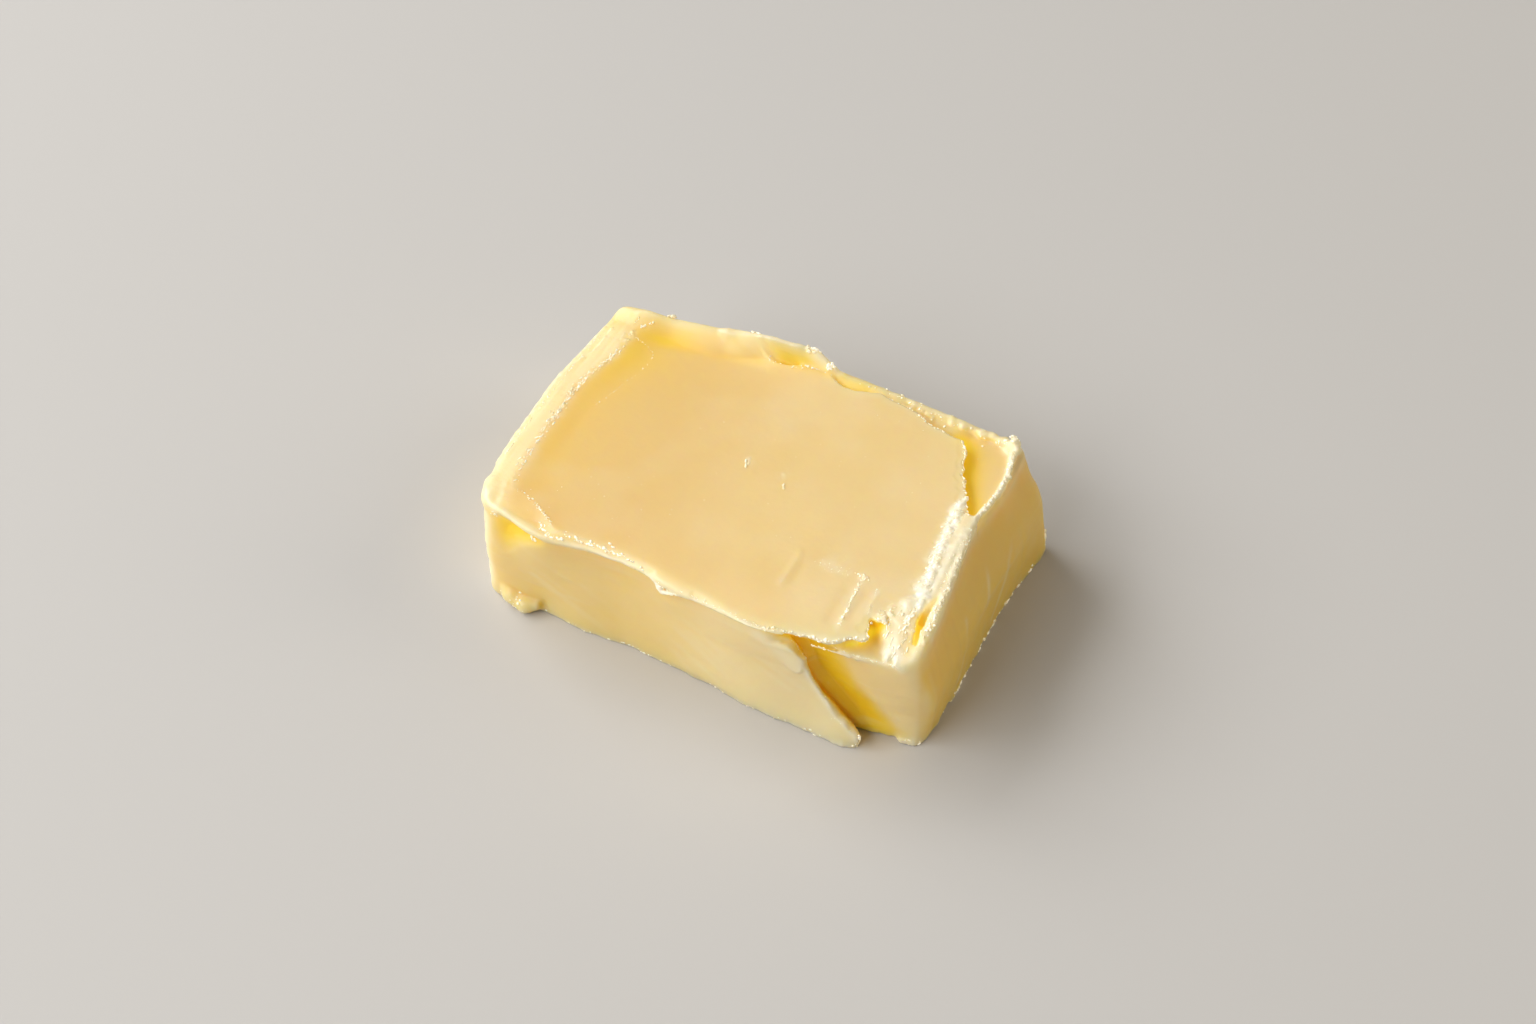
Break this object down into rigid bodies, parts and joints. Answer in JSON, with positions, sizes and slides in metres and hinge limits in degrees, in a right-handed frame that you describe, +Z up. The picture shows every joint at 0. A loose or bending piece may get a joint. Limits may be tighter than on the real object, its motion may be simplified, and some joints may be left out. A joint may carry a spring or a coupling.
{
  "type": "block of butter",
  "caption": "Hand-cut block of butter: a low slab with a smooth smeared top, raised soft rims, a split front skin and a broken far corner.",
  "frame": {"origin": "middle of the underside's bounding box, on the surface the block rests on", "axes": "+X along the block's length towards the leaning end with the ridge, +Y from the split front face to the back, +Z up"},
  "size_m": [0.068, 0.0458, 0.0221],
  "materials": {
    "butter": "soft pale yellow fat, satin with small glossy edges"
  },
  "bodies": {
    "root": {"butter_block": "butter"}
  },
  "joints": []
}
